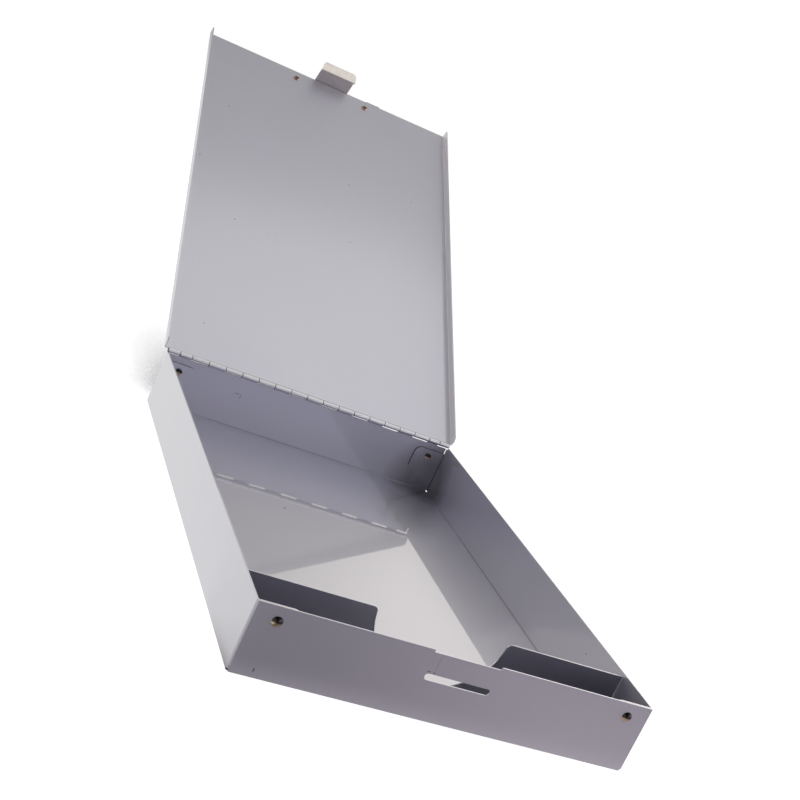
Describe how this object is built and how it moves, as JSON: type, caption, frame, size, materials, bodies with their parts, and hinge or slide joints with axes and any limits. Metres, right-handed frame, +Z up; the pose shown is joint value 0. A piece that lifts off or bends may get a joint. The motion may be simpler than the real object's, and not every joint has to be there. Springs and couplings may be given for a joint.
{
  "type": "storage clipboard box",
  "caption": "Shallow sheet-aluminium document box with a hinged lid, a pen divider, a spring latch and a paper clip on the lid.",
  "frame": {"origin": "centre of the tray's flat underside", "axes": "+X to the right seen from the front, +Y from the latch slot to the hinge, +Z up"},
  "size_m": [0.2334, 0.6682, 0.2553],
  "materials": {
    "satin_aluminium": "fine satin, slightly glossy",
    "divider_aluminium": "satin",
    "rivet_brass": "dull bronze",
    "rivet_copper": "copper-brown",
    "latch_steel": "bright nickel plate",
    "clip_steel": "bright nickel plate",
    "pin_steel": "drawn wire",
    "spring_steel": "dark drawn wire"
  },
  "bodies": {
    "tray": {"tray_pan": "satin_aluminium", "hinge_pin": "pin_steel", "pen_divider": "divider_aluminium", "front_left_rivet": "rivet_brass", "front_right_rivet": "rivet_brass", "back_left_rivet": "rivet_brass", "back_right_rivet": "rivet_brass", "divider_rivet_outer_left": "rivet_brass", "divider_rivet_inner_left": "rivet_brass", "divider_rivet_inner_right": "rivet_brass", "divider_rivet_outer_right": "rivet_brass"},
    "lid": {"lid_panel": "satin_aluminium", "latch_plate": "latch_steel", "clip_base": "clip_steel", "clip_pin": "pin_steel", "clip_spring": "spring_steel", "clip_left_rivet": "rivet_copper", "clip_right_rivet": "rivet_copper"},
    "clip_lever": {"clip_lever": "clip_steel"},
    "latch": {"latch_tab": "latch_steel"}
  },
  "joints": [
    {"name": "lid_hinge", "type": "hinge", "parent": "tray", "child": "lid", "pos_m": [0, 0.1783, 0.04035], "axis": [-1, 0, 0], "range_deg": [-146.85, 33.4]},
    {"name": "clip_pivot", "type": "hinge", "parent": "lid", "child": "clip_lever", "pos_m": [0, 0.46433, 0.22093], "axis": [1, 0, 0], "range_deg": [0, 26], "stiffness_Nm_per_rad": 0.9, "springref_deg": -34.38, "deforming": ["clip_spring"]},
    {"name": "latch_flex", "type": "hinge", "parent": "lid", "child": "latch", "pos_m": [0, 0.47638, 0.23354], "axis": [-1, 0, 0], "range_deg": [0, 16], "stiffness_Nm_per_rad": 0.3}
  ]
}
